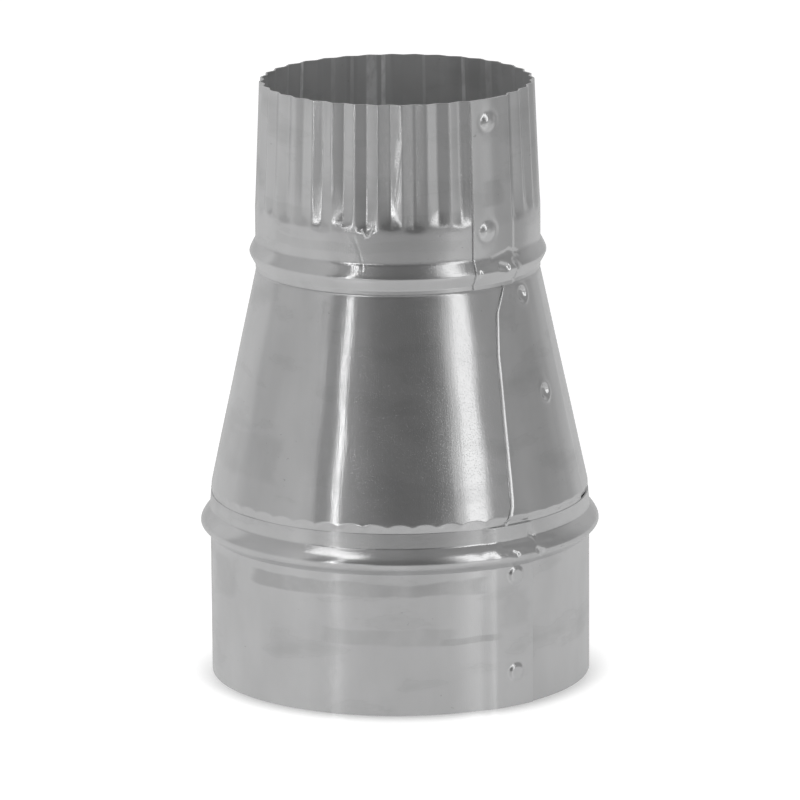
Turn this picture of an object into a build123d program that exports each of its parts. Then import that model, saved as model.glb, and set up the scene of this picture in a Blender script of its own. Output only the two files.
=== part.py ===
from build123d import *
import math
import os

# Duct reducer of thin bright sheet steel, standing on its large plain end.
# Three rolled and lapped pieces: a large plain collar, a cone and a small
# crimped collar. Millimetres, +Z up, the origin on the axis at the bottom rim,
# the front towards -Y. Angles are azimuths in degrees, counted from +X.

# Sheet
sheet = 0.5             # thickness of the metal
nest_gap = 0.1          # clearance left where one lapped sheet nests in another
lap_ramp = 10.0         # angle over which a sheet climbs onto its own far end
bead_rings = 4          # flat rings that make up the round of a bead

# Large plain collar
large_diameter = 103.0  # outside of the plain wall
large_plain = 38.9      # plain wall below the bead
large_bead_width = 7.4
large_bead_height = 2.6
large_lip = 3.6         # wall above the bead, round the foot of the cone
large_edge = -47.0      # azimuth of the free edge seen from outside
large_lap = 13.0

# Small crimped collar
small_diameter = 76.9   # outside of the plain wall
small_lip = 1.2         # wall below the bead, round the top of the cone
small_bead_width = 6.5
small_bead_height = 1.6
small_band = 8.9        # plain wall between the bead and the flutes
small_edge = -59.0
flute_length = 34.2
flute_fade = 4.0        # length in which the flutes run out
flute_count = 36        # flutes that would fill the whole round
flat_flute_count = 2    # flutes missing where the lap is pressed flat
flute_depth = 1.0       # from crest to valley at the rim
fade_depth = 0.8        # from crest to valley where the run-out begins
crimp_inset = 0.1       # how far crimping draws the wall in
rim_diameter = 74.1     # over the crests at the open rim

# Cone, rolled in narrow flats
collar_spacing = 62.1   # height of cone seen between the two lips
cone_edge = -52.5
cone_flat_count = 48    # flats to the full round
lap_flat_count = 5      # flats in the lap
flare_height = 1.2      # height in which each end is flared out

# Clinches, pressed through both sheets of a lap
clinch_diameter = 5.0
clinch_height = 0.8
clinch_taper = 18.0     # draft of the button's side
clinch_root = 0.3       # how far the button is rooted in the wall under it
large_clinch_low = 9.3
large_clinch_below_bead = 2.8
small_clinch_below_flutes = 1.2
small_clinch_below_rim = 6.0
small_clinch_angle = 8.0    # from the free edge of the small collar
cone_clinch_below_top = 3.6
cone_clinch_low = 32.0      # above the lip of the large collar
cone_clinch_flat = 2.5      # flats from the free edge of the cone

# Heights
large_bead_middle = large_plain + large_bead_width / 2
large_top = large_plain + large_bead_width + large_lip
small_bottom = large_top + collar_spacing
small_bead_foot = small_bottom + small_lip
small_bead_middle = small_bead_foot + small_bead_width / 2
flute_start = small_bead_foot + small_bead_width + small_band
rim_height = flute_start + flute_length

# Radii
large_radius = large_diameter / 2
small_radius = small_diameter / 2
rim_radius = rim_diameter / 2
nest_inset = 2 * sheet + nest_gap   # a collar's sheet, the cone's lap and the clearance
large_neck_radius = large_radius - nest_inset
small_neck_radius = small_radius - nest_inset
large_flare_radius = large_neck_radius + large_bead_height
small_flare_radius = small_neck_radius + small_bead_height


def upright(azimuth):
    """Plane through the axis: its x points outwards at the azimuth, its y up."""
    turn = math.radians(azimuth)
    outwards = (math.cos(turn), math.sin(turn), 0)
    return Plane(origin=(0, 0, 0), x_dir=outwards, z_dir=(math.sin(turn), -math.cos(turn), 0))


def on_wall(azimuth, radius, height, lean=0.0):
    """Plane that touches a wall, its z outwards; lean is how far the wall faces up."""
    turn = math.radians(azimuth)
    tilt = math.radians(lean)
    outwards = (math.cos(tilt) * math.cos(turn), math.cos(tilt) * math.sin(turn), math.sin(tilt))
    place = (radius * math.cos(turn), radius * math.sin(turn), height)
    return Plane(origin=place, x_dir=(-math.sin(turn), math.cos(turn), 0), z_dir=outwards)


def bead(radius, foot, width, height):
    """Corners of a rolled bead: an arc over its width, as bead_rings flat rings."""
    curve = (width**2 / 4 + height**2) / (2 * height)
    reach = math.asin(width / 2 / curve)
    turns = [reach * (2 * ring / bead_rings - 1) for ring in range(bead_rings + 1)]
    centre = radius + height - curve
    return [(centre + curve * math.cos(t), foot + width / 2 + curve * math.sin(t)) for t in turns]


def beside(corners, shift):
    """Corners of a line moved to its left, each along the mitre of its two runs."""
    points = [Vector(*corner) for corner in corners]
    lefts = [(end - start).normalized().rotate(Axis.Z, 90) for start, end in zip(points, points[1:])]
    mitres = zip([lefts[0]] + lefts, lefts + [lefts[-1]])
    return [
        point + (left + next_left) * (shift / (1 + left.dot(next_left)))
        for point, (left, next_left) in zip(points, mitres)
    ]


def layer(corners, side):
    """Lay one sheet in section on the left (1) or the right (-1) of a line of corners."""
    Polygon(*corners, *reversed(beside(corners, side * sheet)), align=None)


def roll(corners, edge, lap, way):
    """Roll a sheet round the axis and lap it over its own far end.

    The corners are the sheet's outer face, from the bottom up. The free outer
    edge is at the azimuth edge, and the lap lies beside it, way = 1 or -1. Past
    the lap the sheet drops over lap_ramp by one thickness, back to its own round.
    """
    hidden_edge = edge + way * lap
    ramp_foot = hidden_edge + way * lap_ramp
    with BuildSketch(upright(max(edge, ramp_foot))) as single:
        layer(corners, 1)
    revolve(single.sketch, axis=Axis.Z, revolution_arc=360 - lap - lap_ramp)
    with BuildSketch(upright(min(edge, hidden_edge))) as double:
        layer(corners, 1)
        layer(corners, -1)
    revolve(double.sketch, axis=Axis.Z, revolution_arc=lap)
    with BuildSketch(upright(ramp_foot)) as ramp_low:
        layer(corners, 1)
    with BuildSketch(upright(hidden_edge)) as ramp_high:
        layer(corners, -1)
    loft([ramp_low.sketch, ramp_high.sketch], ruled=True)


def clinch(wall, outwards):
    """Press a round button through a lap, outwards or inwards.

    The plane wall lies on the outer face of the lap. The metal of the button
    comes out of a pocket on the other side, which is a sheet narrower all round.
    """
    face = 1 if outwards else -1
    surface = 0 if outwards else -2 * sheet
    back = surface - face * 2 * sheet
    with BuildSketch(wall.offset(surface - face * clinch_root)) as button:
        Circle(clinch_diameter / 2)
    extrude(button.sketch, amount=face * (clinch_root + clinch_height), taper=clinch_taper)
    with BuildSketch(wall.offset(back - face * clinch_root)) as pocket:
        Circle(clinch_diameter / 2 - sheet - clinch_height * math.tan(math.radians(clinch_taper)))
    extrude(pocket.sketch, amount=face * (clinch_root + sheet + clinch_height), mode=Mode.SUBTRACT)


def flats(edge, count, lap_count, hidden, radius, height, depth=0.0):
    """Corners of one face of a sheet rolled in flats, once round at one height.

    There are count flats to the round and lap_count of them in the lap. Their
    corners are numbered from the free edge, and the outline starts there, or at
    the hidden edge for the inner face. On the lap they lie one sheet further
    out, and come back in over lap_ramp. Past it each odd corner lies in by depth.
    """
    pitch = 360 / count
    first = lap_count if hidden else 0
    corners = []
    for number in range(first, first + count + 1):
        climb = min(max((lap_count * pitch + lap_ramp - number * pitch) / lap_ramp, 0), 1) * sheet
        in_valley = number % 2 == 1 and lap_count < number < count
        reach = radius + climb - (depth if in_valley else 0)
        corners.append(Vector(reach, 0, height).rotate(Axis.Z, edge + number * pitch))
    return corners


def skin(outlines):
    """Solid with flat sides through outlines that have equally many corners."""
    faces = [Face(Wire.make_polygon(outline)) for outline in (outlines[0], outlines[-1])]
    for low, high in zip(outlines, outlines[1:]):
        for a, b, c, d in zip(low, low[1:] + low[:1], high[1:] + high[:1], high):
            faces.append(Face(Wire.make_polygon([a, b, c])))
            faces.append(Face(Wire.make_polygon([a, c, d])))
    return Solid(Shell(faces))


def run_out(radius):
    """Tapering ring of flats, one to a flute, on which the valleys come to an end."""
    places = ((radius, flute_start), (radius - fade_depth, flute_start + flute_fade))
    return skin([flats(small_edge, flute_count, 0, False, *place)[:-1] for place in places])


# Large plain collar: a straight wall, a rolled bead and a lip
large_corners = [
    (large_radius, 0),
    *bead(large_radius, large_plain, large_bead_width, large_bead_height),
    (large_radius, large_top),
]

with BuildPart() as large_collar:
    roll(large_corners, large_edge, large_lap, -1)
    for height in (large_clinch_low, large_plain - large_clinch_below_bead):
        clinch(on_wall(large_edge - large_lap / 2, large_radius + sheet, height), True)

# Cone: each end is turned straight to pass into a collar, and its edge is
# flared out to lie inside the collar's bead, which holds it there
cone_corners = [
    (large_flare_radius, large_bead_middle),
    (large_neck_radius, large_bead_middle + flare_height),
    (large_neck_radius, large_top),
    (small_neck_radius, small_bottom),
    (small_neck_radius, small_bead_middle - flare_height),
    (small_flare_radius, small_bead_middle),
]
cone_inner_corners = [(point.X, point.Y) for point in beside(cone_corners, sheet)]
cone_flats = (cone_edge, cone_flat_count, lap_flat_count)
cone_slope = (large_neck_radius - small_neck_radius) / (small_bottom - large_top)
cone_lean = math.degrees(math.atan(cone_slope))
cone_clinch_turn = cone_edge + cone_clinch_flat * 360 / cone_flat_count

with BuildPart() as cone:
    add(skin([flats(*cone_flats, False, *corner) for corner in cone_corners]))
    inside = skin([flats(*cone_flats, True, *corner) for corner in cone_inner_corners])
    add(inside, mode=Mode.SUBTRACT)
    for height in (large_top + cone_clinch_low, small_bottom - cone_clinch_below_top):
        radius = large_neck_radius - cone_slope * (height - large_top) + sheet
        clinch(on_wall(cone_clinch_turn, radius, height, cone_lean), False)

# Small crimped collar: a lip, a rolled bead, a plain band and the fluted end,
# with a solid for the outside of the flutes and one for the space inside them
small_corners = [
    (small_radius, small_bottom),
    *bead(small_radius, small_bead_foot, small_bead_width, small_bead_height),
    (small_radius, flute_start),
]
fluting = (small_edge, 2 * flute_count, 2 * flat_flute_count)
small_lap = flat_flute_count * 360 / flute_count
crimp_radius = small_radius - crimp_inset
crimp_slope = (crimp_radius - rim_radius) / flute_length
crimp_lean = math.degrees(math.atan(crimp_slope))
small_clinch_turn = small_edge + small_clinch_angle
low_clinch_height = flute_start - small_clinch_below_flutes
high_clinch_height = rim_height - small_clinch_below_rim
high_clinch_radius = rim_radius + crimp_slope * small_clinch_below_rim + sheet

with BuildPart() as small_collar:
    roll(small_corners, small_edge, small_lap, 1)
    for hidden, mode in ((False, Mode.ADD), (True, Mode.SUBTRACT)):
        inset = sheet if hidden else 0
        low = flats(*fluting, hidden, crimp_radius - inset, flute_start, fade_depth)
        high = flats(*fluting, hidden, rim_radius - inset, rim_height, flute_depth)
        add(skin([low, high]), mode=mode)
        add(run_out(crimp_radius - inset), mode=mode)
    clinch(on_wall(small_clinch_turn, small_radius + sheet, low_clinch_height), True)
    clinch(on_wall(small_clinch_turn, high_clinch_radius, high_clinch_height, crimp_lean), True)

os.makedirs("parts", exist_ok=True)
large_collar.part.label = "large_collar"
export_step(large_collar.part, "parts/large_collar.step")
cone.part.label = "cone"
export_step(cone.part, "parts/cone.step")
small_collar.part.label = "small_collar"
export_step(small_collar.part, "parts/small_collar.step")
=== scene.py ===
# %% [markdown]
# A duct reducer of thin bright sheet steel. It joins a wide round duct to a
# narrow one. The real thing is three strips of sheet, each rolled into a ring
# with its ends lapped and pressed together with small round clinches: a plain
# wide collar, a cone and a narrow collar whose end is crimped into flutes, so
# that it slips inside the next duct.
#
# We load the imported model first. It gives the size and the place of each
# piece, and every surface made below is fitted to it.

# %% Load the frame
import math

import bpy
import numpy as np
from mathutils import Matrix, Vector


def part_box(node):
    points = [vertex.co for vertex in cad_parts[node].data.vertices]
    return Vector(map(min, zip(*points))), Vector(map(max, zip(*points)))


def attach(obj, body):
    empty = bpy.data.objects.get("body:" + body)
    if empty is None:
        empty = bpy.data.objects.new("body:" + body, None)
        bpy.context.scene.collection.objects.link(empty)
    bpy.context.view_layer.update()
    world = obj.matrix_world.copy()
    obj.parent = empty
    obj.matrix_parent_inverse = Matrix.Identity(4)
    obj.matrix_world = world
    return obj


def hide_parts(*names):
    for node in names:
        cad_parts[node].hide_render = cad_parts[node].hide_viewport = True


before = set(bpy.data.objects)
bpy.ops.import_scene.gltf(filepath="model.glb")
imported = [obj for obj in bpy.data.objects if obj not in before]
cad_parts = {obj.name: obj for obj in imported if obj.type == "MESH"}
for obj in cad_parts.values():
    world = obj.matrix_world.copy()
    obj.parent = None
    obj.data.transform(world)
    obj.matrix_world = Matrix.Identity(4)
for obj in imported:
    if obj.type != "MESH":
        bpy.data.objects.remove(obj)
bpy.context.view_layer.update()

# %% [markdown]
# The shapes below are worked out in millimetres and turned into metres when a
# mesh is made. The heights where the pieces meet are read from the frame. The
# radii are those of the real sheet: a collar is sized by the duct it fits, and
# the cone passes inside both collars.

# %% Sizes from the frame
MM = 0.001
SHEET = 0.5             # thickness of the metal
SEAM_GAP = 0.03         # air between the two layers of a lap

large_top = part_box("large_collar")[1].z / MM
small_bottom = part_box("small_collar")[0].z / MM
rim_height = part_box("small_collar")[1].z / MM
large_radius = 51.5
small_radius = 38.45
rim_radius = 37.05
small_neck = small_radius - 2 * SHEET - 0.1     # of the cone, inside the narrow collar
print(f"large collar up to {large_top:.1f}, cone up to {small_bottom:.1f}, rim at {rim_height:.1f} mm")

# %% [markdown]
# The camera comes early, because every later choice is judged through it. The
# photograph looks slightly down from far away with a long lens, so the sides of
# the wide collar stay parallel. A tiny roll takes up the slight lean of the
# real piece.

# %% Camera
CAMERA_DISTANCE = 1.879     # metres in front of the axis
CAMERA_HEIGHT = 0.523
CAMERA_PITCH = 13.43        # degrees down
CAMERA_ROLL = 0.4
FOCAL_PIXELS = 7126         # focal length in pixels of a frame 800 wide
FRAME_PIXELS = 800
AXIS_PIXEL = 399.0          # where the photograph shows the axis, near mid height

camera_data = bpy.data.cameras.new("camera")
camera_data.sensor_width = 36.0
camera_data.lens = FOCAL_PIXELS / FRAME_PIXELS * camera_data.sensor_width
camera_data.shift_x = (FRAME_PIXELS / 2 - AXIS_PIXEL) / FRAME_PIXELS
camera = bpy.data.objects.new("camera", camera_data)
camera.location = (0, -CAMERA_DISTANCE, CAMERA_HEIGHT)
aim = Matrix.Rotation(math.radians(90 - CAMERA_PITCH), 3, "X")
camera.rotation_euler = (aim @ Matrix.Rotation(math.radians(-CAMERA_ROLL), 3, "Z")).to_euler()
bpy.context.scene.collection.objects.link(camera)
bpy.context.scene.camera = camera
bpy.context.scene.view_settings.view_transform = "Standard"
print(f"lens {camera_data.lens:.0f} mm")

# %% [markdown]
# Bright metal shows little colour of its own: what we see is the studio in it.
# So the studio is designed as carefully as the metal. The walls of the collars
# lean neither up nor down and mirror the pale floor. The cone faces slightly up
# and mirrors the room at eye height, which is dark round the camera, with a
# narrow strip light on the left and a wide soft box on the right.
#
# The floor is a plain matt sheet that ends a short way in front of the object
# and to its right, like the corner of a table. The frame never shows that edge,
# but the metal does: a wall that leans back even slightly looks past it. For the
# camera and for reflections the sheet also glows a little, so it stays pale
# without stronger lamps. The glow fades where the object covers the sheet, most
# of all in front, so its thin soft shadow stays. A slight sheen repeats the
# lamps softly below eye height.

# %% Floor
def new_material(name):
    """An empty node material: returns the material, its node tree and its output node."""
    material = bpy.data.materials.new(name)
    material.use_nodes = True
    material.node_tree.nodes.clear()
    output = material.node_tree.nodes.new("ShaderNodeOutputMaterial")
    return material, material.node_tree, output


def feed(tree, socket, operand):
    """Give an input socket a number, or link another socket to it."""
    if isinstance(operand, (int, float)):
        socket.default_value = operand
    else:
        tree.links.new(operand, socket)


def math_node(tree, operation, first, second=None):
    """A Math node. Each operand is a number or an output socket; returns the result socket."""
    node = tree.nodes.new("ShaderNodeMath")
    node.operation = operation
    feed(tree, node.inputs[0], first)
    if second is not None:
        feed(tree, node.inputs[1], second)
    return node.outputs[0]


def blend(tree, factor, first, second):
    """Mix of two values (numbers or sockets) by a factor socket."""
    mix = tree.nodes.new("ShaderNodeMix")
    mix.data_type = "FLOAT"
    tree.links.new(factor, mix.inputs["Factor"])
    feed(tree, mix.inputs["A"], first)
    feed(tree, mix.inputs["B"], second)
    return mix.outputs[0]


def span(tree, value, start, stop, low=0.0, high=1.0, ease="SMOOTHSTEP"):
    """Map a value from start..stop to low..high, held at the ends."""
    mapping = tree.nodes.new("ShaderNodeMapRange")
    mapping.interpolation_type = ease
    tree.links.new(value, mapping.inputs["Value"])
    for label, number in (("From Min", start), ("From Max", stop), ("To Min", low), ("To Max", high)):
        mapping.inputs[label].default_value = number
    return mapping.outputs[0]


FLOOR_FRONT = -0.47         # edges of the sheet, in metres from the axis
FLOOR_LEFT = -4.0
FLOOR_RIGHT = 0.48
FLOOR_BACK = 6.0
FLOOR_GREY = 0.8
FLOOR_CAMERA_GLOW = 0.76    # seen directly
FLOOR_MIRROR_GLOW = 0.29    # seen in the metal
FLOOR_SHEEN = 0.20          # share of the sheen
FLOOR_ROUGHNESS = 0.25      # and its blur
SHADOW_REACH = 0.007        # metres from the object over which the glow fades
SHADOW_POWER = 1.5
SHADOW_SAMPLES = 8
SIDE_SHADOW = 0.3           # share of the shadow that stays beside and behind the axis
SHADOW_BACK = 0.03          # depth along Y where it is down to that share
SHADOW_FRONT = -0.045       # and where it is whole

floor_mesh = bpy.data.meshes.new("floor")
floor_corners = [
    (FLOOR_LEFT, FLOOR_FRONT, 0), (FLOOR_RIGHT, FLOOR_FRONT, 0),
    (FLOOR_RIGHT, FLOOR_BACK, 0), (FLOOR_LEFT, FLOOR_BACK, 0),
]
floor_mesh.from_pydata(floor_corners, [], [(0, 1, 2, 3)])
floor = bpy.data.objects.new("floor", floor_mesh)
bpy.context.scene.collection.objects.link(floor)

floor_material, tree, output = new_material("pale_floor")
matt = tree.nodes.new("ShaderNodeBsdfDiffuse")
matt.inputs["Color"].default_value = (FLOOR_GREY, FLOOR_GREY, FLOOR_GREY, 1)
gloss = tree.nodes.new("ShaderNodeBsdfGlossy")
gloss.inputs["Roughness"].default_value = FLOOR_ROUGHNESS
surface = tree.nodes.new("ShaderNodeMixShader")
surface.inputs["Fac"].default_value = FLOOR_SHEEN
tree.links.new(matt.outputs[0], surface.inputs[1])
tree.links.new(gloss.outputs[0], surface.inputs[2])
glow = tree.nodes.new("ShaderNodeEmission")
path = tree.nodes.new("ShaderNodeLightPath")
openness = tree.nodes.new("ShaderNodeAmbientOcclusion")
openness.samples = SHADOW_SAMPLES
openness.inputs["Distance"].default_value = SHADOW_REACH
shade = math_node(tree, "POWER", openness.outputs["AO"], SHADOW_POWER)
floor_place = tree.nodes.new("ShaderNodeTexCoord")
floor_axes = tree.nodes.new("ShaderNodeSeparateXYZ")
tree.links.new(floor_place.outputs["Object"], floor_axes.inputs[0])
in_front = span(tree, floor_axes.outputs["Y"], SHADOW_BACK, SHADOW_FRONT, SIDE_SHADOW, 1.0)
shade = blend(tree, in_front, 1.0, shade)
mirrored = math_node(tree, "MAXIMUM", path.outputs["Is Glossy Ray"], path.outputs["Is Transmission Ray"])
seen_glow = math_node(tree, "MULTIPLY", path.outputs["Is Camera Ray"], FLOOR_CAMERA_GLOW)
seen_glow = math_node(tree, "MULTIPLY", seen_glow, shade)
mirror_glow = math_node(tree, "MULTIPLY", mirrored, FLOOR_MIRROR_GLOW)
tree.links.new(math_node(tree, "ADD", seen_glow, mirror_glow), glow.inputs["Strength"])
both = tree.nodes.new("ShaderNodeAddShader")
tree.links.new(surface.outputs[0], both.inputs[0])
tree.links.new(glow.outputs[0], both.inputs[1])
tree.links.new(both.outputs[0], output.inputs["Surface"])
floor_mesh.materials.append(floor_material)
print("floor from", FLOOR_LEFT, "to", FLOOR_RIGHT, "m")

# %% [markdown]
# The room is the world. The camera sees it white. Everything else sees grey
# walls whose brightness changes with the azimuth of the ray, from straight
# behind the object, over the left, the camera's own side and the right, back to
# behind. Two colour ramps hold it: one for the walls above eye height and one
# for what lies beyond the edge of the floor. The room fades between them, and
# high up it fades to one grey.

# %% Room
# Brightness round the room: azimuth in degrees from the camera's side, right positive
UPPER_STOPS = (
    (-180, 0.54), (-121, 0.62), (-116, 0.40), (-104, 0.45), (-75, 0.48), (-57.5, 0.54),
    (-55, 0.19), (-43, 0.17), (-32, 0.20), (-18, 0.11), (22, 0.095), (31, 0.21),
    (60, 0.25), (73, 0.24), (85, 0.34), (97, 0.27), (112, 0.29), (122, 0.36),
    (132, 0.48), (180, 0.48),
)
LOWER_STOPS = (
    (-180, 0.50), (-54, 0.46), (-42, 0.35), (-15, 0.34), (48, 0.31),
    (55, 0.60), (74, 0.58), (86, 0.39), (122, 0.38), (135, 0.50), (180, 0.50),
)
LOW_VIEW = -0.26        # sine of the elevation where the lower ramp holds
HIGH_VIEW = 0.15        # and where the upper one does
CEILING = 0.24          # brightness straight above
CEILING_START = 0.6     # sine of the elevation where the walls give way to it


def room_ramp(tree, place, stops):
    """A colour ramp round the room from (azimuth, brightness) stops."""
    ramp = tree.nodes.new("ShaderNodeValToRGB")
    elements = ramp.color_ramp.elements
    elements.remove(elements[-1])
    for index, (angle, level) in enumerate(stops):
        position = angle / 360 + 0.5
        element = elements[0] if index == 0 else elements.new(position)
        element.position = position
        element.color = (level, level, level, 1)
    tree.links.new(place, ramp.inputs["Fac"])
    return ramp.outputs["Color"]


world = bpy.data.worlds.new("room")
bpy.context.scene.world = world
world.use_nodes = True
tree = world.node_tree
tree.nodes.clear()
output = tree.nodes.new("ShaderNodeOutputWorld")
room = tree.nodes.new("ShaderNodeBackground")
room.inputs["Color"].default_value = (1, 1, 1, 1)
place = tree.nodes.new("ShaderNodeTexCoord")
axes = tree.nodes.new("ShaderNodeSeparateXYZ")
tree.links.new(place.outputs["Generated"], axes.inputs[0])
toward_camera = math_node(tree, "MULTIPLY", axes.outputs["Y"], -1.0)
azimuth = math_node(tree, "ARCTAN2", axes.outputs["X"], toward_camera)
turn_share = math_node(tree, "ADD", math_node(tree, "DIVIDE", azimuth, math.tau), 0.5)
upper = room_ramp(tree, turn_share, UPPER_STOPS)
lower = room_ramp(tree, turn_share, LOWER_STOPS)
walls = blend(tree, span(tree, axes.outputs["Z"], LOW_VIEW, HIGH_VIEW, ease="LINEAR"), lower, upper)
lit_room = blend(tree, span(tree, axes.outputs["Z"], CEILING_START, 1.0), walls, CEILING)
path = tree.nodes.new("ShaderNodeLightPath")
tree.links.new(blend(tree, path.outputs["Is Camera Ray"], lit_room, 1.0), room.inputs["Strength"])
tree.links.new(room.outputs[0], output.inputs["Surface"])
print(len(UPPER_STOPS) + len(LOWER_STOPS), "stops round the room")

# %% [markdown]
# The lamps are plain rectangles that face the object. The strip on the left
# draws the narrow streak down the cone. The box on the right draws the wide one
# and is brighter in its middle. A low light catches the crown of the wide bead,
# and a high one lies as a long streak on its upper side.

# %% Lamps
LAMP_DISTANCE = 1.5
LAMPS = {
    # name: azimuth from the camera's side, width in degrees, foot, top in metres, radiance
    "strip_light": (-38.4, 1.8, -0.03, 2.0, 4.6),
    "soft_box": (45.5, 23.5, 0.08, 1.9, 0.45),
    "soft_box_core": (47.5, 14.0, 0.10, 1.8, 0.75),
    "low_light": (-30.0, 30.0, 0.06, 0.16, 1.8),
    "top_light": (-49.0, 42.0, 1.73, 2.6, 1.5),
}


def add_lamp(name, azimuth, width, foot, top, radiance):
    """A rectangular area lamp of the given radiance, upright, facing the axis."""
    turn = math.radians(azimuth)
    data = bpy.data.lights.new(name, "AREA")
    data.shape = "RECTANGLE"
    data.size = 2 * LAMP_DISTANCE * math.tan(math.radians(width / 2))
    data.size_y = top - foot
    data.energy = radiance * math.pi * data.size * data.size_y
    lamp = bpy.data.objects.new(name, data)
    middle = (foot + top) / 2
    lamp.location = (LAMP_DISTANCE * math.sin(turn), -LAMP_DISTANCE * math.cos(turn), middle)
    lamp.rotation_euler = (math.radians(90), 0, turn)
    lamp.visible_camera = False
    bpy.context.scene.collection.objects.link(lamp)
    print(f"{name}: {data.size:.2f} by {data.size_y:.2f} m, {data.energy:.1f} W")


for lamp_name, lamp_facts in LAMPS.items():
    add_lamp(lamp_name, *lamp_facts)

# %% [markdown]
# Now the metal sheet. Each piece is one strip, rolled round the axis until its
# end lies on its beginning. We keep that: a piece is a line of radius and
# height carried round the axis by a sheet angle that starts at the free edge
# and ends a little past a full turn, under the lap. The outer and the inner
# face share the same angles, and strips of faces close the edges, so the sheet
# has its true thickness and its seam is a real step.
#
# First come the small helpers that draw the line.

# %% Lines
LINE_GAP = 0.12         # least distance of two points on a line, in mm
ANGLE_GAP = 0.04        # and of two sheet angles, in degrees


def smooth(share):
    """Cubic ease: 0 below 0, 1 above 1, and 3 s^2 - 2 s^3 between."""
    share = np.clip(share, 0.0, 1.0)
    return share * share * (3 - 2 * share)


def bump(distance, reach):
    """Bell of height 1: (1 - (d / reach)^2)^2 inside the reach, 0 outside."""
    return np.clip(1 - (distance / reach) ** 2, 0, None) ** 2


def bead_line(wall, crown_height, below, above, height, bluntness):
    """Rolled bead in section: a ridge like a roof with a blunt top.

    With t the distance from the crown over the half width (below or above),
    the ridge stands out by height * (1 - (sqrt(t^2 + c^2) - c) / (sqrt(1 + c^2) - c)),
    a hyperbola that is nearly straight down to its roots. c is the bluntness.
    """
    share = np.concatenate([[-1.06, -1.0, -0.97], np.linspace(-0.92, 0.92, 27), [0.97, 1.0, 1.06]])
    fall = np.sqrt(share**2 + bluntness**2) - bluntness
    out = np.clip(1 - fall / (math.sqrt(1 + bluntness**2) - bluntness), 0, None)
    reach = np.where(share < 0, below, above)
    return np.column_stack([wall + height * out, crown_height + share * reach])


def refine(line, spacing, windows=()):
    """The same line with more points, even in height or finer in some windows.

    Points are added by length along the line, every spacing, and every fine
    step inside each window (middle, half height, fine step).
    """
    runs = np.hypot(*np.diff(line, axis=0).T)
    along = np.concatenate([[0], np.cumsum(runs)])
    wanted = [along, np.arange(0, along[-1], spacing)]
    for middle, reach, fine in windows:
        ends = np.interp([middle - reach, middle + reach], line[:, 1], along)
        wanted.append(np.arange(ends[0], ends[1], fine))
    places = np.unique(np.round(np.concatenate(wanted), 3))
    apart = np.concatenate([[True], np.diff(places) > LINE_GAP])
    apart[-1] = True
    places = places[apart]
    return np.column_stack([np.interp(places, along, line[:, axis]) for axis in (0, 1)])


def inner_line(line, thickness=SHEET):
    """The line moved inwards by the sheet: along its normal, (dz, -dr) by the slope."""
    slope = np.gradient(line, axis=0)
    slope /= np.linalg.norm(slope, axis=1)[:, None]
    return line + thickness * np.column_stack([-slope[:, 1], slope[:, 0]])


def even_angles(end, step, windows=()):
    """Sheet angles from 0 to end, finer inside each window (from, to, fine step)."""
    wanted = [np.arange(0, end, step), [end]]
    for start, stop, fine in windows:
        wanted.append(np.arange(start, stop, fine))
    places = np.unique(np.round(np.concatenate(wanted), 3))
    return places[np.concatenate([[True], np.diff(places) > ANGLE_GAP])]


print(f"bell at half its reach: {bump(0.5, 1.0):.2f}, ease at a quarter: {smooth(0.25):.2f}")


# %% [markdown]
# The next helper carries a line round the axis. All points are worked out as
# one array, one row for each sheet angle and one column for each point of the
# closed section. The faces are index arrays of the same kind, so no loop runs
# over points. UV coordinates run along the sheet and up it, in decimetres, and
# the materials use them, because every mark follows the sheet.

# %% Rolled sheet
EDGE_ROUND = 0.1        # radius of a cut edge
BEND_POWER = 1.6        # how late the sheet bends down towards its free edge
CREASE_ANGLE = 50       # degrees between two faces that don't shade as one
SHEET_UNIT = 100        # millimetres in one unit of the sheet's own coordinates


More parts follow.
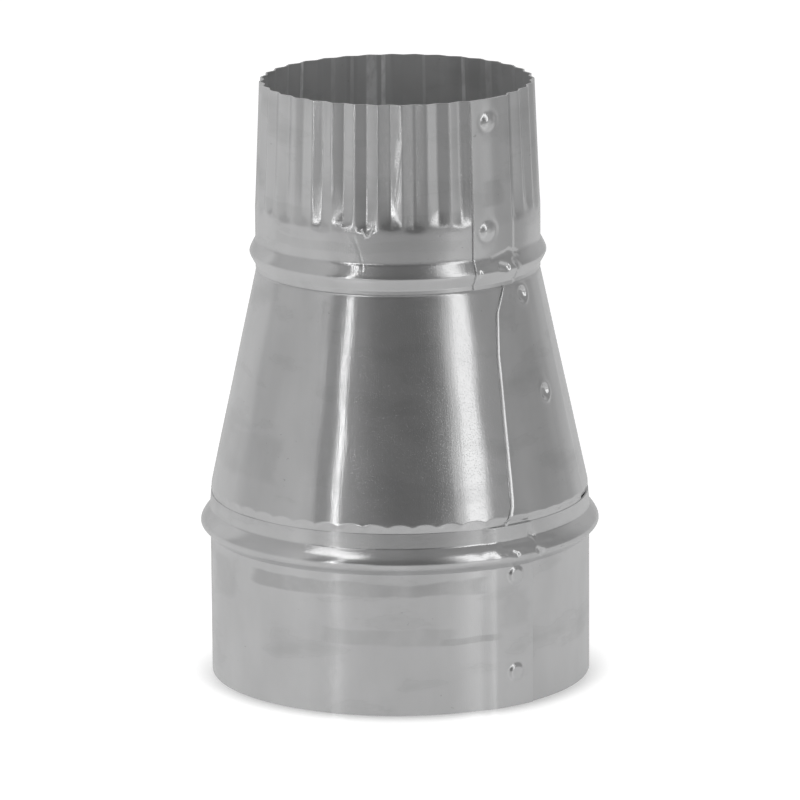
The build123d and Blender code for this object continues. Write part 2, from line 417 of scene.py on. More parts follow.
def rolled_sheet(name, line, angles, start, lap, shape, bend=(0.05, 0.4), scrape=None):
    """A strip of sheet rolled round the axis, as a closed mesh.

    The point at sheet angle a and line point (r, z) lies at the azimuth
    start(a, z) and the radius r + lift + shape(azimuth, z, a), in mm. The
    azimuth may run either way with the angle. lap holds the degrees of the lap
    and of the ramp past it: the lift is one sheet and its gap over the lap and
    eases to 0 over the ramp. At the free edge the outer face bends down by
    bend[0] over bend[1], steeper towards the edge, and ends in a small quarter
    circle. scrape(azimuth, z) says how far the outer face is scraped.
    """
    section = np.vstack([line, inner_line(line)[::-1]])
    angle, point = np.meshgrid(angles, np.arange(len(section)), indexing="ij")
    height = section[point, 1]
    azimuth = start(angle, height)
    lift = (SHEET + SEAM_GAP) * smooth((lap[0] + lap[1] - angle) / lap[1])
    radius = section[point, 0] + lift + shape(azimuth, height, angle)
    from_edge = np.radians(angle) * section[point, 0]
    corner = 1 - np.clip(from_edge / EDGE_ROUND, 0, 1)
    drop = bend[0] * np.clip(1 - from_edge / bend[1], 0, 1) ** BEND_POWER
    drop = drop + EDGE_ROUND * (1 - np.sqrt(1 - corner**2))
    radius = radius - np.where(point < len(line), drop, 0)
    turn = np.radians(azimuth)
    places = np.stack([radius * np.cos(turn), radius * np.sin(turn), height], axis=-1)

    columns, rows = angle.shape
    index = np.arange(columns * rows).reshape(columns, rows)
    here, beyond = index[:-1], index[1:]
    sides = np.stack(
        [here, beyond, np.roll(beyond, -1, axis=1), np.roll(here, -1, axis=1)], axis=-1
    ).reshape(-1, 4)
    count = rows // 2
    across = np.arange(count - 1)
    cap = np.stack([across, across + 1, rows - 2 - across, rows - 1 - across], axis=-1)
    quads = np.vstack([sides, index[0][cap], index[-1][cap[:, ::-1]]])
    if azimuth[-1, 0] < azimuth[0, 0]:
        quads = quads[:, ::-1]

    mesh = bpy.data.meshes.new(name)
    mesh.vertices.add(places.size // 3)
    mesh.vertices.foreach_set("co", (places * MM).astype(np.float32).ravel())
    mesh.loops.add(quads.size)
    mesh.loops.foreach_set("vertex_index", quads.astype(np.int32).ravel())
    mesh.polygons.add(len(quads))
    mesh.polygons.foreach_set("loop_start", np.arange(0, quads.size, 4, dtype=np.int32))
    mesh.update(calc_edges=True)
    spread = np.stack([np.radians(angle) * section[0, 0], height], axis=-1).reshape(-1, 2)
    spread = spread / SHEET_UNIT
    layer = mesh.uv_layers.new(name="rolled")
    layer.data.foreach_set("uv", spread[quads.ravel()].astype(np.float32).ravel())
    inside = mesh.attributes.new("inside", "FLOAT", "POINT")
    inside.data.foreach_set("value", (point >= len(line)).astype(np.float32).ravel())
    if scrape is not None:
        scraped = mesh.attributes.new("scraped", "FLOAT", "POINT")
        bare = scrape(azimuth, height) * (point < len(line))
        scraped.data.foreach_set("value", bare.astype(np.float32).ravel())
    mesh.shade_smooth()
    mesh.set_sharp_from_angle(angle=math.radians(CREASE_ANGLE))
    mesh.validate()
    piece = bpy.data.objects.new(name, mesh)
    bpy.context.scene.collection.objects.link(piece)
    print(f"{name}: {columns} by {rows} points, {2 * len(quads)} triangles")
    return piece


def past(azimuth, place):
    """How far an azimuth lies past a place, in degrees, the short way round."""
    return (azimuth - place + 180) % 360 - 180


GROOVE_SHARE = 0.18     # depth of the ring groove round a clinch, of the clinch's own
GROOVE_PLACE = 1.1      # middle of the groove, in half widths of the clinch
GROOVE_REACH = 0.4


def clinch_shape(azimuth, height, radius, place, width, depth, shoulder=0.9):
    """Round button pressed through the lap, in a shallow ring groove.

    With d the distance on the wall from the place (azimuth, height) over the
    half width, the height eases from depth to 0 as d runs over the shoulder's
    width up to 1, and the groove is a bell just outside.
    """
    sideways = np.radians(past(azimuth, place[0])) * radius
    distance = np.hypot(sideways, height - place[1]) / (width / 2)
    button = smooth((1 - distance) / shoulder)
    return depth * (button - GROOVE_SHARE * bump(distance - GROOVE_PLACE, GROOVE_REACH))


def along_path(azimuth, height, radius, path, width):
    """Bell across a drawn line on the wall, for scratches, creases and dents.

    The path is a row of (azimuth, height) corners. The result is the bell of
    the distance to its nearest stretch, in mm on a wall of the given radius.
    """
    nearest = np.full(np.broadcast(azimuth, height).shape, np.inf)
    for (turn_a, height_a), (turn_b, height_b) in zip(path[:-1], path[1:]):
        across = np.radians(past(azimuth, turn_a)) * radius
        up = height - height_a
        step_across = math.radians(turn_b - turn_a) * radius
        step_up = height_b - height_a
        share = np.clip((across * step_across + up * step_up) / (step_across**2 + step_up**2), 0, 1)
        nearest = np.minimum(nearest, np.hypot(across - share * step_across, up - share * step_up))
    return bump(nearest, width / 2)


def wall_wave(azimuth, height, depth, count, phase=0.0, climb=0.0):
    """Slow wave round a wall: depth * sin(count * azimuth + climb * height + phase)."""
    return depth * np.sin(count * np.radians(azimuth) + climb * height + phase)


print(f"from 350 to 10 degrees, the short way: {past(10, 350)}")

# %% [markdown]
# The metal. Bright galvanised sheet is a mirror that has been rolled: its
# colour is a neutral grey, its shine is slightly blurred, and fine lines run up
# the wall, the way the mill rolled the sheet. A shader group makes that grain
# once. It gives a height for the Bump node with sparse pits in it, a value that
# varies the roughness, cloudy stains with a darker tide line, and small dark
# specks.

# %% Grain group
def new_group(name, inputs, outputs):
    """A shader node group: returns it with its input node and its output node."""
    group = bpy.data.node_groups.new(name, "ShaderNodeTree")
    for label, value in inputs.items():
        kind = "NodeSocketVector" if isinstance(value, tuple) else "NodeSocketFloat"
        socket = group.interface.new_socket(label, in_out="INPUT", socket_type=kind)
        socket.default_value = value
    for label in outputs:
        group.interface.new_socket(label, in_out="OUTPUT", socket_type="NodeSocketFloat")
    return group, group.nodes.new("NodeGroupInput"), group.nodes.new("NodeGroupOutput")


def noise_node(tree, place, scale, detail=2.0, rates=(1, 1, 1), output="Fac"):
    """A Noise texture on a scaled place; returns its value (or colour) socket."""
    mapping = tree.nodes.new("ShaderNodeMapping")
    mapping.inputs["Scale"].default_value = rates
    tree.links.new(place, mapping.inputs["Vector"])
    noise = tree.nodes.new("ShaderNodeTexNoise")
    noise.inputs["Scale"].default_value = scale
    noise.inputs["Detail"].default_value = detail
    tree.links.new(mapping.outputs[0], noise.inputs["Vector"])
    return noise.outputs[output]


# Noises: scale, detail and how fast they change along, up and through the sheet
ROLLING_LINES = (260, 3.0, (1, 0.04, 1))
ORANGE_PEEL = (260, 2.0)
PITS = (300, 1.0)
CLOUDS = (7, 3.0, (1, 0.5, 1))
STAINS = (9, 5.0, (0.35, 1, 1))
FLECKS = (85, 2.0, (0.6, 1, 1))
SOILED_PLACES = (6, 1.0)
LINE_SHARE = 0.9        # height of the rolling lines beside the orange peel's
# Where each noise begins to show and where it shows fully
PIT_EDGE = (0.58, 0.74)
STAIN_EDGE = (0.5, 0.72)
FLECK_EDGE = (0.69, 0.76)
SOILED_EDGE = (0.52, 0.66)
TIDE_LEVEL = 0.57       # the stain noise's value along the tide line
TIDE_EDGE = (0.014, 0.002)      # how far off that value the line begins and is full
TIDE_SHARE = 0.5        # how strongly the line shows

grain, group_in, group_out = new_group(
    "sheet_grain", {"Place": (0.0, 0.0, 0.0)}, ["Height", "Blur", "Stain", "Specks"]
)
place = group_in.outputs["Place"]
lines = math_node(grain, "MULTIPLY", noise_node(grain, place, *ROLLING_LINES), LINE_SHARE)
height = math_node(grain, "ADD", lines, noise_node(grain, place, *ORANGE_PEEL))
pits = span(grain, noise_node(grain, place, *PITS), *PIT_EDGE)
grain.links.new(math_node(grain, "SUBTRACT", height, pits), group_out.inputs["Height"])
grain.links.new(noise_node(grain, place, *CLOUDS), group_out.inputs["Blur"])
stain = noise_node(grain, place, *STAINS)
off_tide = math_node(grain, "ABSOLUTE", math_node(grain, "SUBTRACT", stain, TIDE_LEVEL))
tide_line = math_node(grain, "MULTIPLY", span(grain, off_tide, *TIDE_EDGE), TIDE_SHARE)
stained = math_node(grain, "MAXIMUM", span(grain, stain, *STAIN_EDGE), tide_line)
grain.links.new(stained, group_out.inputs["Stain"])
flecks = span(grain, noise_node(grain, place, *FLECKS), *FLECK_EDGE)
soiled = span(grain, noise_node(grain, place, *SOILED_PLACES), *SOILED_EDGE)
grain.links.new(math_node(grain, "MULTIPLY", flecks, soiled), group_out.inputs["Specks"])
print("grain group with", len(grain.nodes), "nodes")

# %% [markdown]
# Handling and rolling leave dull bands along the sheet. This group draws one
# such mark: a window in height and along the sheet, with edges that wander.

# %% Roll mark group
WANDER = (14, 3.0, (0.4, 1, 1))         # noise that moves the edges of a mark
WANDER_REACH = (0.10, 0.035, 0.0)       # how far, from side to side, in decimetres
END_FADE = 0.03                         # length over which a mark fades in and out
SIDE_FADE = (1.15, 0.75)                # of its half height, from nothing to full
PATCHES = (11, 4.0)                     # noise that makes a mark patchy
PATCH_EDGE = (0.3, 0.6, 0.45, 1.0)      # its values and the strengths that they give

roll_mark, group_in, group_out = new_group(
    "roll_mark",
    {"Place": (0.0, 0.0, 0.0), "Height": 0.1, "Reach": 0.02, "Start": 0.0, "Stop": 1.0},
    ["Mask"],
)
place = group_in.outputs["Place"]
centred = roll_mark.nodes.new("ShaderNodeVectorMath")
centred.operation = "MULTIPLY_ADD"
roll_mark.links.new(noise_node(roll_mark, place, *WANDER, "Color"), centred.inputs[0])
centred.inputs[1].default_value = WANDER_REACH
centred.inputs[2].default_value = [-0.5 * reach for reach in WANDER_REACH]
moved = roll_mark.nodes.new("ShaderNodeVectorMath")
roll_mark.links.new(place, moved.inputs[0])
roll_mark.links.new(centred.outputs[0], moved.inputs[1])
parts = roll_mark.nodes.new("ShaderNodeSeparateXYZ")
roll_mark.links.new(moved.outputs[0], parts.inputs[0])
off_height = math_node(roll_mark, "SUBTRACT", parts.outputs["Y"], group_in.outputs["Height"])
off_height = math_node(roll_mark, "ABSOLUTE", off_height)
share_up = math_node(roll_mark, "DIVIDE", off_height, group_in.outputs["Reach"])
from_start = math_node(roll_mark, "SUBTRACT", parts.outputs["X"], group_in.outputs["Start"])
from_stop = math_node(roll_mark, "SUBTRACT", group_in.outputs["Stop"], parts.outputs["X"])
along = math_node(roll_mark, "MINIMUM", from_start, from_stop)
window = span(roll_mark, along, 0.0, END_FADE)
mask = math_node(roll_mark, "MULTIPLY", span(roll_mark, share_up, *SIDE_FADE), window)
patchy = span(roll_mark, noise_node(roll_mark, place, *PATCHES), *PATCH_EDGE)
roll_mark.links.new(math_node(roll_mark, "MULTIPLY", mask, patchy), group_out.inputs["Mask"])
print("roll mark group with", len(roll_mark.nodes), "nodes")

# %% [markdown]
# Down inside, the flutes catch the light as upright streaks. These are painted highlights: one streak is
# a pale soft window along the sheet, broken up by a noise.

# %% Painted highlight streak group
STREAK_FADE = (1.0, 0.55)               # of its half width, from nothing to full
RAGS = (40, 4.0, (1, 0.5, 1))           # noise that tears a streak
RAG_EDGE = (0.3, 0.62, 0.35, 1.0)       # its values and the strengths that they give

streak, group_in, group_out = new_group(
    "streak", {"Place": (0.0, 0.0, 0.0), "At": 1.0, "Reach": 0.01}, ["Mask"]
)
place = group_in.outputs["Place"]
parts = streak.nodes.new("ShaderNodeSeparateXYZ")
streak.links.new(place, parts.inputs[0])
off_line = math_node(streak, "SUBTRACT", parts.outputs["X"], group_in.outputs["At"])
off_line = math_node(streak, "ABSOLUTE", off_line)
core = span(streak, math_node(streak, "DIVIDE", off_line, group_in.outputs["Reach"]), *STREAK_FADE)
ragged = span(streak, noise_node(streak, place, *RAGS), *RAG_EDGE)
streak.links.new(math_node(streak, "MULTIPLY", core, ragged), group_out.inputs["Mask"])
print("streak group with", len(streak.nodes), "nodes")

# %% [markdown]
# Real sheet has two shines at once: a fairly sharp one from the smooth zinc and a broad dull one from
# its fine crystals and scratches. The broad one lets the lamps brighten even the walls that do not
# mirror them, and it carries light down inside. Two metal nodes are mixed for that. The inner face is
# duller than the outer one, which the rolls have rubbed, and burrs are scraped pale. On the inner face,
# pale matt streaks are painted highlights where the flutes catch light.

# %% Steel
STAIN_SHARE = 0.6       # how strongly a stain dulls the sheet
DULL_TONE = 0.80        # tone of fully dulled metal, as a share of clean metal
DULL_BLUR = 0.12        # roughness that dulling adds
CLOUD_EDGE = (0.3, 0.7)     # values of the clouds, from the one end to the other
CLOUD_TONE = (1.03, 0.95)   # and the tones that they give
SPECK_TONE = 0.75
TINTS = (("Red", 1.0), ("Green", 1.003), ("Blue", 1.006))
RELIEF = 0.000012       # height of the grain, in metres
SCRAPES = (170, 2.0)    # noise of a scraped burr
SCRAPE_RELIEF = 18.0    # its height beside the grain's
SCRAPE_TONE = 0.92
PAINTED_HIGHLIGHT_TONE = 0.95
INNER_METALLIC = 0.40   # the broad shine's metallic value on the inner face
INNER_BROAD = 0.66      # share of the broad shine there
PAINTED_HIGHLIGHT_BROAD = 0.9      # and in a streak


def placed_group(tree, group, place, sizes):
    """A shader group on the sheet's coordinates. Its sizes are given in mm."""
    node = tree.nodes.new("ShaderNodeGroup")
    node.node_tree = group
    tree.links.new(place, node.inputs["Place"])
    for label, size in sizes.items():
        node.inputs[label].default_value = size / SHEET_UNIT
    return node


def point_value(tree, name):
    """A value that the mesh holds at its points."""
    node = tree.nodes.new("ShaderNodeAttribute")
    node.attribute_name = name
    return node.outputs["Fac"]


def dullness(tree, place, stain, marks):
    """The strongest of the stain and the roll marks."""
    dull = math_node(tree, "MULTIPLY", stain, STAIN_SHARE)
    for height, reach, start, stop, strength in marks:
        sizes = {"Height": height, "Reach": reach, "Start": start, "Stop": stop}
        mark = placed_group(tree, roll_mark, place, sizes).outputs["Mask"]
        dull = math_node(tree, "MAXIMUM", dull, math_node(tree, "MULTIPLY", mark, strength))
    return dull


def painted_highlight_streaks(tree, place, inside, streaks):
    """The strongest of the painted highlight streaks, on the inner face alone."""
    pale = 0.0
    for at, reach, strength in streaks:
        mark = placed_group(tree, streak, place, {"At": at, "Reach": reach}).outputs["Mask"]
        lit = math_node(tree, "MULTIPLY", math_node(tree, "MULTIPLY", mark, strength), inside)
        pale = math_node(tree, "MAXIMUM", pale, lit)
    return pale


def shine(tree, colour, normal, roughness, metallic):
    """One metal node. The roughness and the metallic value are numbers or sockets."""
    node = tree.nodes.new("ShaderNodeBsdfPrincipled")
    tree.links.new(colour, node.inputs["Base Color"])
    tree.links.new(normal, node.inputs["Normal"])
    feed(tree, node.inputs["Roughness"], roughness)
    feed(tree, node.inputs["Metallic"], metallic)
    return node.outputs[0]


def steel(name, marks, streaks=(), grey=0.75, sharp=(0.08, 0.15), broad=0.48, share=0.30):
    """Bright rolled steel with grain and marks, on the UV map that follows the sheet.

    A mark is (height, half height, start, stop along the sheet), in mm, and how strongly it dulls. A
    streak is a painted highlight on the inner face: (place, half width, strength).
    sharp holds the two roughnesses between which the sharp shine varies, broad is
    the broad one's, and share is the broad one's part on the outer face.
    """
    material, tree, output = new_material(name)
    sheet_map = tree.nodes.new("ShaderNodeUVMap")
    sheet_map.uv_map = "rolled"
    place = sheet_map.outputs[0]
    grain_node = placed_group(tree, grain, place, {})
    clouds = grain_node.outputs["Blur"]
    inside = point_value(tree, "inside")
    scraped = point_value(tree, "scraped")
    dull = dullness(tree, place, grain_node.outputs["Stain"], marks)
    # pale holds the painted highlight streaks down inside
    pale = painted_highlight_streaks(tree, place, inside, streaks)

    scratches = math_node(tree, "MULTIPLY", noise_node(tree, place, *SCRAPES), scraped)
    scratches = math_node(tree, "MULTIPLY", scratches, SCRAPE_RELIEF)
    relief = tree.nodes.new("ShaderNodeBump")
    relief.inputs["Distance"].default_value = RELIEF
    bumps = math_node(tree, "ADD", grain_node.outputs["Height"], scratches)
    tree.links.new(bumps, relief.inputs["Height"])

    tone = span(tree, dull, 0, 1, grey, grey * DULL_TONE, ease="LINEAR")
    tone = math_node(tree, "MULTIPLY", tone, span(tree, clouds, *CLOUD_EDGE, *CLOUD_TONE))
    specked = span(tree, grain_node.outputs["Specks"], 0, 1, 1.0, SPECK_TONE)
    tone = blend(tree, scraped, math_node(tree, "MULTIPLY", tone, specked), SCRAPE_TONE)
    metallic = span(tree, inside, 0, 1, 1.0, INNER_METALLIC)
    broad_share = span(tree, inside, 0, 1, share, INNER_BROAD)
    # The streaks are painted highlights: there the inner face turns pale and matt
    if streaks:
        tone = blend(tree, pale, tone, PAINTED_HIGHLIGHT_TONE)
        metallic = blend(tree, pale, metallic, 0.0)
        broad_share = blend(tree, pale, broad_share, PAINTED_HIGHLIGHT_BROAD)
    colour = tree.nodes.new("ShaderNodeCombineColor")
    for label, tint in TINTS:
        tree.links.new(math_node(tree, "MULTIPLY", tone, tint), colour.inputs[label])

    blur = span(tree, clouds, *CLOUD_EDGE, *sharp)
    blur = math_node(tree, "ADD", blur, math_node(tree, "MULTIPLY", dull, DULL_BLUR))
    mix = tree.nodes.new("ShaderNodeMixShader")
    tree.links.new(broad_share, mix.inputs["Fac"])
    sharp_shine = shine(tree, colour.outputs[0], relief.outputs[0], blur, 1.0)
    broad_shine = shine(tree, colour.outputs[0], relief.outputs[0], broad, metallic)
    tree.links.new(sharp_shine, mix.inputs[1])
    tree.links.new(broad_shine, mix.inputs[2])
    tree.links.new(mix.outputs[0], output.inputs["Surface"])
    print(f"{name}: {len(marks)} roll marks, {len(streaks)} streaks, {len(tree.nodes)} nodes")
    return material


# %% [markdown]
# Each piece has its own marks, in millimetres of height and of sheet from the free edge. The cone is
# polished brighter, which keeps the strip light in it narrow. The streaks are painted highlights inside
# the narrow collar, the only one that we see into.

# %% Steel of each piece
large_steel = steel("bright_sheet_wide", (
    (34.6, 1.9, 14.0, 84.0, 1.0),
    (20.3, 1.0, 10.0, 30.0, 0.9),
    (21.5, 2.4, 24.0, 62.0, 0.5),
    (31.0, 6.0, 90.0, 108.0, 0.5),
    (27.0, 5.0, 0.5, 11.0, 0.4),
    (27.0, 1.0, 150.0, 260.0, 0.8),
))
cone_steel = steel("bright_sheet_cone", (
    (100.0, 3.0, 60.0, 130.0, 0.25),
    (66.0, 6.0, 210.0, 260.0, 0.4),
), sharp=(0.05, 0.09))
small_steel = steel("bright_sheet_narrow", (
    (131.5, 2.2, 170.0, 241.0, 0.4),
    (138.0, 3.5, 2.0, 12.0, 0.7),
    (124.5, 1.5, 180.0, 236.0, 0.35),
    (142.0, 6.0, 60.0, 120.0, 0.5),
), streaks=(
    # Streaks of painted highlight on the inner face: place, half width, strength
    (136.4, 0.8, 0.4), (130.7, 1.1, 1.0), (119.3, 0.8, 0.3), (107.3, 1.9, 0.85), (103.9, 0.8, 1.0),
    (113.2, 0.6, 0.4), (79.9, 0.9, 0.7), (92.0, 0.6, 0.3), (70.5, 1.4, 0.35),
))

# %% [markdown]
# The wide collar is a plain wall with one rolled bead and a short lip above it,
# into which the cone goes. Its free edge lies right of the middle, and the lap
# runs left from it, so the sheet angle runs against the azimuth here.

# %% Large collar
large_edge = -47.0      # azimuth of the free edge
large_lap = 13.0        # degrees by which the ends overlap
large_ramp = 6.0        # degrees over which the outer end comes down past the lap
large_crown = 41.8      # height of the bead's crown
large_bead = (3.1, 4.2, 2.6, 0.45)      # reach below and above, height, bluntness
large_lip_inset = 0.25  # how far the lip closes in on the cone
large_clinches = ((-53.5, 36.1), (-53.5, 9.3))
large_button = (5.4, 0.45, 0.45)        # width, depth, shoulder
# Slow waves of the wall: depth, number round it, phase, and phase for each mm of height
large_waves = ((0.03, 3, 0.6), (0.02, 11, 0.0, 1 / 12))
# Dents in the bead at the lap: (azimuth, height) corners, width, height in (-)
large_marks = (
    (((-48.2, 46.6), (-46.6, 45.8)), 2.4, -0.55),
    (((-47.2, 42.6), (-45.2, 41.6)), 2.6, -0.6),
    (((-56.4, 43.0), (-55.0, 42.4)), 2.2, -0.35),
    (((-58.5, 45.2), (-40.0, 44.4)), 2.0, -0.2),
)

# The lip goes on from the bead's last slope, so the bead's two end points are left out
large_line = np.vstack([
    [(large_radius, 0)],
    bead_line(large_radius, large_crown, *large_bead)[:-2],
    [(large_radius - large_lip_inset, large_top)],
])
# Finer rows at the clinches and in the bead, finer columns at the edge and the lap
large_rows = [(height, 3.2, 0.35) for _, height in large_clinches] + [(43.5, 4.0, 0.4)]
large_line = refine(large_line, 2.0, large_rows)
large_columns = [(0, 0.6, 0.05), (0, 20, 0.4), (353, 360 + large_lap, 0.5)]
large_angles = even_angles(360 + large_lap, 1.25, large_columns)


def large_start(angle, height):
    """Azimuth of a sheet angle on the wide collar."""
    return large_edge - angle


def large_shape(azimuth, height, angle):
    """Clinches, dents and the slow waves of a rolled wall."""
    shape = sum(wall_wave(azimuth, height, *wave) for wave in large_waves)
    for path, width, depth in large_marks:
        shape = shape + depth * along_path(azimuth, height, large_radius, path, width)
    for place in large_clinches:
        shape = shape + clinch_shape(azimuth, height, large_radius, place, *large_button)
    return shape


large_collar = rolled_sheet(
    "large_collar_sheet", large_line, large_angles, large_start,
    (large_lap, large_ramp), large_shape,
)

# %% [markdown]
# The cone passes inside both collars. Its foot is upright for a short way, as
# the wide collar's lip grips it, and ends in a small flare inside the bead. The
# sheet was pressed against that upright foot, which leaves a row of shallow
# scallops. We get them by switching between two lines, the upright wall and the
# cone's own slope, at a height that waves round the axis. Its lap is wide, and
# its free edge wanders as a hand-cut edge does. Two clinches are pressed inwards
# here, and faint creases run up where the sheet was bent.

# %% Cone
cone_edge = -52.5
cone_lap = 36.0
cone_ramp = 2.6
cone_neck = large_radius - SHEET - 0.1          # of the cone, inside the wide collar
cone_clinches = ((-33.0, 108.4), (-30.0, 81.9))
cone_button = (4.6, 0.8, 0.6)
cone_creases = ((-119.6, 0.05), (-142.0, 0.06), (-40.5, -0.03), (-28.0, 0.05))
crease_reach = 3.8      # degrees beside a crease over which the wall bends
cone_bend = (0.33, 1.15)        # of the free edge: how far and over what length
cone_waves = ((0.03, 2, 1.0), (0.02, 5))
cone_dapple = ((0.035, 13, 0.0, 1 / 11), (1.0, 4, 0.0, 1 / 9))      # these two are multiplied

foot_height = 52.4      # the cone's wall starts here, scallops hang a little lower
scallops = 48           # to the round
scallop_tip = 50.7      # height of the points between them
scallop_rise = 1.7      # and how much higher each arch is
scallop_power = 0.8     # below 1, an arch is fuller than a cosine
scallop_hang = 2.4      # most that the wall goes on below its start
scallop_turn = (0.5, 0.9)       # from how far below the wavy line, and over what height
lap_margin = 2.0        # degrees past the lap over which the foot stays drawn in
draw_ease = 20.0        # degrees over which it then comes out
draw_start = 7.0        # and over which it went in before the full turn
draw_height = 2.0       # height over which the wall above joins it
cone_top = (small_neck + 0.95, 110.8)
cone_slope = (cone_neck - cone_top[0]) / (cone_top[1] - foot_height)

# The free edge: heights, and how many degrees it wanders there
edge_heights = (42.0, 50.0, 52.0, 55.0, 69.0, 84.5, 94.0, 105.0, 112.0)
edge_wander = (-4.0, -4.7, -3.1, -1.9, -1.0, 0.0, 0.7, 3.2, 9.0)
wander_fade = 15        # degrees of sheet over which the wander fades

# From the flare inside the wide bead, up the foot and the wall, to the flared neck
cone_line = np.array([
    (cone_neck + 1.9, 42.9),
    (cone_neck + 0.3, 43.6),
    (cone_neck, 44.5),
    (cone_neck, foot_height),
    cone_top,
    (small_neck + 0.75, 111.5),
    (small_neck + 0.1, 112.0),
    (small_neck, 112.6),
    (small_neck, 114.6),
    (small_neck + 0.4, 115.5),
    (small_neck + 1.4, 116.1),
])
# Finer rows at the clinches and the scallops, finer columns at the edge and the clinches
cone_rows = [(height, 3.0, 0.35) for _, height in cone_clinches] + [(51.2, 1.8, 0.25)]
cone_line = refine(cone_line, 1.6, cone_rows)
cone_columns = [(0, 1, 0.06), (0, 4, 0.4), (15, 28, 0.4), (34, 46, 0.8)]
cone_angles = even_angles(360 + cone_lap, 1.0, cone_columns)


def cone_start(angle, height):
    """Azimuth of a sheet angle on the cone: the free edge wanders, as hand cut."""
    wander = np.interp(height, edge_heights, edge_wander)
    return cone_edge + angle + wander * np.clip(1 - angle / wander_fade, 0, 1)


def cone_shape(azimuth, height, angle):
    """Pressed-in clinches, creases, a scalloped foot and a slightly uneven wall.

    Below a wavy line the wall stands upright, above it the wall goes on along
    the cone. The foot draws in by one sheet where the lap makes it double.
    """
    shape = sum(wall_wave(azimuth, height, *wave) for wave in cone_waves)
    dapple, patches = (wall_wave(azimuth, height, *wave) for wave in cone_dapple)
    shape = shape + dapple * patches
    for crease, depth in cone_creases:
        shape = shape + depth * np.clip(np.abs(past(azimuth, crease)) / crease_reach, 0, 1)
    arch = np.abs(np.cos(scallops / 2 * np.radians(azimuth))) ** scallop_power
    wavy_line = scallop_tip + scallop_rise * arch
    overhang = cone_slope * np.clip(foot_height - height, 0, scallop_hang)
    below, over = scallop_turn
    shape = shape + overhang * smooth((height - wavy_line + below) / over)
    drawn = smooth((cone_lap + lap_margin + draw_ease - angle) / draw_ease)
    drawn = drawn + smooth((angle - 360 + draw_start) / draw_start)
    drawn = drawn * smooth((foot_height - height) / draw_height)
    shape = shape - (SHEET + SEAM_GAP) * drawn
    radius = np.interp(height, cone_line[:, 1], cone_line[:, 0])
    for place in cone_clinches:
        shape = shape - clinch_shape(azimuth, height, radius, place, *cone_button)
    return shape


cone = rolled_sheet(
    "cone_sheet", cone_line, cone_angles, cone_start, (cone_lap, cone_ramp), cone_shape, cone_bend
)

# %% [markdown]
# The narrow collar is crimped at its free end: a zigzag of flat facets that
# narrows the end, so that it slips into the next duct. A table holds one wave,
# a triangle smoothed by a short window, and every flute looks its depth up in
# it. No two flutes end at quite the same height. The crimping tool left burrs
# on two ridges, and the bead is dented where the lap was rolled. Across the lap
# the crimp is pressed nearly flat.

# %% Small collar
small_edge = -59.0
small_lap = 20.0
small_ramp = 3.2
small_crown = 116.4
small_bead = (3.3, 3.5, 1.6, 0.16)
small_clinches = ((-50.2, 156.8), (-52.2, 127.6))
small_button = (5.3, 0.6, 0.75)
small_wave = (0.02, 3)

flute_start = 128.6     # height above which the flutes grow
flute_pitch = 10.0      # degrees
flute_slots = 40        # flutes that have a depth and an end of their own
flute_uneven = ((0, -0.207, -0.051), (20, 270, 360))    # pitches off, at sheet angles
foot_share = 0.6        # share of a flute's depth that comes at once
foot_length = 2.6       # height over which it comes
growth_drop = 2.0       # how far below the flute's foot the rest begins
growth_length = 15.0    # and over what height it comes
ripple_depth = 0.07     # of the flutes that are pressed flat at the lap
ripple_rise = 8.0       # height over which they come

# Burrs that the crimping tool left: (azimuth, height) corners
left_burr = ((-117.4, 162.5), (-117.5, 150), (-117.0, 139))
middle_burr = ((-88.7, 162.5), (-88.5, 152), (-91.0, 139))
# Burrs, creases and dents: corners, width, height out (+) or in (-)
small_marks = (
    (left_burr, 0.9, 0.08),
    (middle_burr, 0.9, 0.08),
    (((-107.5, 127.5), (-104.5, 121), (-103.8, 118.5)), 0.9, -0.035),
    (((-46.5, 117.6), (-44.0, 117.0)), 3.2, -0.75),
    (((-38.5, 118.2), (-36.0, 116.5)), 3.0, -0.55),
    (((-50.5, 119.5), (-41.0, 121.2), (-34.0, 119.6)), 1.6, -0.22),
    (((-57.5, 116.8), (-57.5, 116.0)), 2.0, -0.25),
)
scrape_strength = 1.6
# Where burrs and sharp folds are scraped pale: corners and width
small_scrapes = (
    (left_burr, 0.95),
    (middle_burr, 0.8),
    (((-89.4, 152.5), (-90.4, 147.0)), 1.6),
    (((-104.2, 129.3), (-102.6, 127.6), (-101.2, 128.0), (-99.6, 130.4)), 0.8),
)

small_line = np.vstack([
    [(small_radius, small_bottom)],
    bead_line(small_radius, small_crown, *small_bead),
    [(small_radius, flute_start)],
    [(rim_radius, rim_height)],
])
# Finer rows at the clinches and the crease, finer columns at the edge and the burrs
small_rows = [(height, 3.0, 0.5) for _, height in small_clinches] + [(121.0, 1.8, 0.45)]
small_line = refine(small_line, 2.6, small_rows)
small_columns = [(0, 0.6, 0.1), (0, 26, 0.55), (300, 307, 0.25), (312, 322, 0.35), (326, 332, 0.25)]
small_angles = even_angles(360 + small_lap, 0.8, small_columns)

wave_steps = 200        # of the table that holds one flute
fold_blur = 23          # steps over which its folds are rounded
wave_places = np.linspace(0, 1, wave_steps + 1)
blur_window = np.hanning(fold_blur)
wave_table = np.tile(-np.abs(1 - 2 * np.abs(wave_places[:-1] - 0.5)), 3)
wave_table = np.convolve(wave_table, blur_window / blur_window.sum(), mode="same")
wave_table = wave_table[wave_steps:2 * wave_steps + 1]

random = np.random.default_rng(7)
flute_depths = random.uniform(0.95, 1.15, flute_slots)
flute_ends = random.uniform(-0.8, 1.2, flute_slots)
flute_depths[27] *= 1.2       # two deeper ones, on the left and in the middle
flute_depths[30] *= 1.25


def small_start(angle, height):
    """Azimuth of a sheet angle on the narrow collar."""
    return small_edge + angle


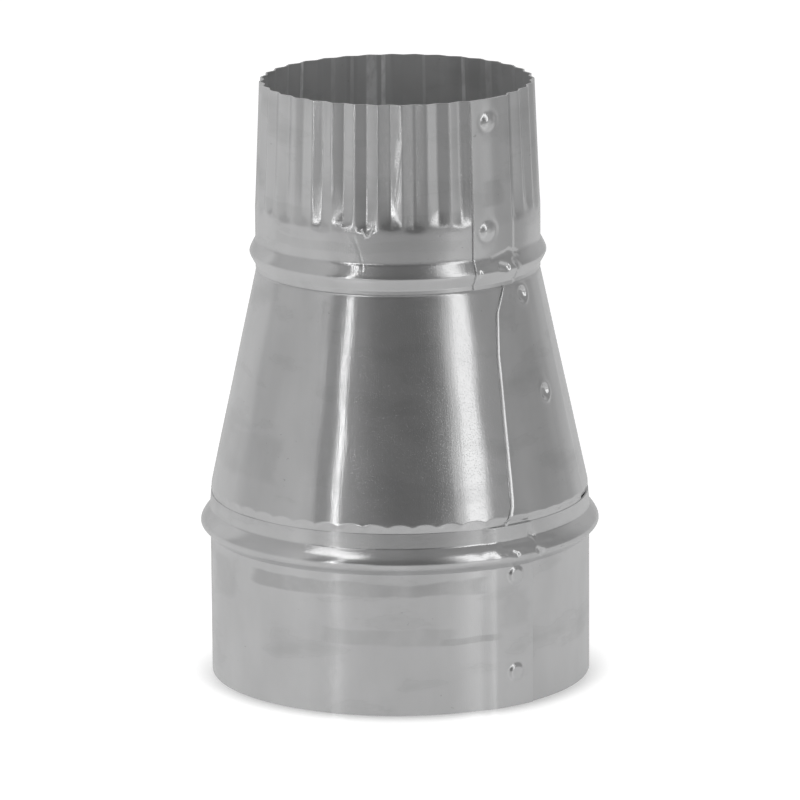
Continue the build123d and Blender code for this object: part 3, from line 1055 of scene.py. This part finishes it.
def flutes(height, angle):
    """Crimped flutes: a blunt zigzag round the wall that runs out at its foot.

    The depth comes in two steps above the foot, a short one and a long one. The
    wave starts past the lap and stops at the full turn, under it. The pitch is
    not quite even.
    """
    uneven = np.interp(angle, flute_uneven[1], flute_uneven[0])
    number = (angle - small_lap) / flute_pitch + uneven
    which = np.clip(np.floor(number), 0, flute_slots - 1).astype(int)
    wave = np.interp(number - np.floor(number), wave_places, wave_table)
    above = height - flute_start - flute_ends[which]
    first_step = smooth(above / foot_length)
    second_step = smooth((above + growth_drop) / growth_length)
    deep = foot_share * first_step + (1 - foot_share) * second_step
    on = (angle > small_lap) & (angle < 360)
    return np.where(on, wave * deep * flute_depths[which], 0)


def small_shape(azimuth, height, angle):
    """Flutes, clinches, burrs, dents and a slightly uneven wall.

    Across the lap the flutes are pressed flat, which leaves a ripple of 1 - cos.
    """
    shape = wall_wave(azimuth, height, *small_wave) + flutes(height, angle)
    ripple = 1 - np.cos(np.radians(angle) * 360 / flute_pitch)
    pressed = -ripple_depth * ripple * smooth((height - flute_start) / ripple_rise)
    shape = shape + np.where(angle < small_lap, pressed, 0)
    radius = np.interp(height, small_line[:, 1], small_line[:, 0])
    for place in small_clinches:
        shape = shape + clinch_shape(azimuth, height, radius, place, *small_button)
    for path, width, depth in small_marks:
        shape = shape + depth * along_path(azimuth, height, small_radius, path, width)
    return shape


def small_scrape(azimuth, height):
    """How far the outer face is scraped: the strongest of the drawn lines."""
    bare = np.zeros(azimuth.shape)
    for path, width in small_scrapes:
        bare = np.maximum(bare, along_path(azimuth, height, small_radius, path, width))
    return np.clip(scrape_strength * bare, 0, 1)


small_collar = rolled_sheet(
    "small_collar_sheet", small_line, small_angles, small_start,
    (small_lap, small_ramp), small_shape, scrape=small_scrape,
)

# %% [markdown]
# Last, each piece takes its finish, rides on the one body there is, and stands
# for its CAD node.

# %% Finish
finished = (
    (large_collar, "large_collar", large_steel),
    (cone, "cone", cone_steel),
    (small_collar, "small_collar", small_steel),
)
for piece, node, metal in finished:
    piece.data.materials.append(metal)
    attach(piece, "root")
    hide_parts(node)
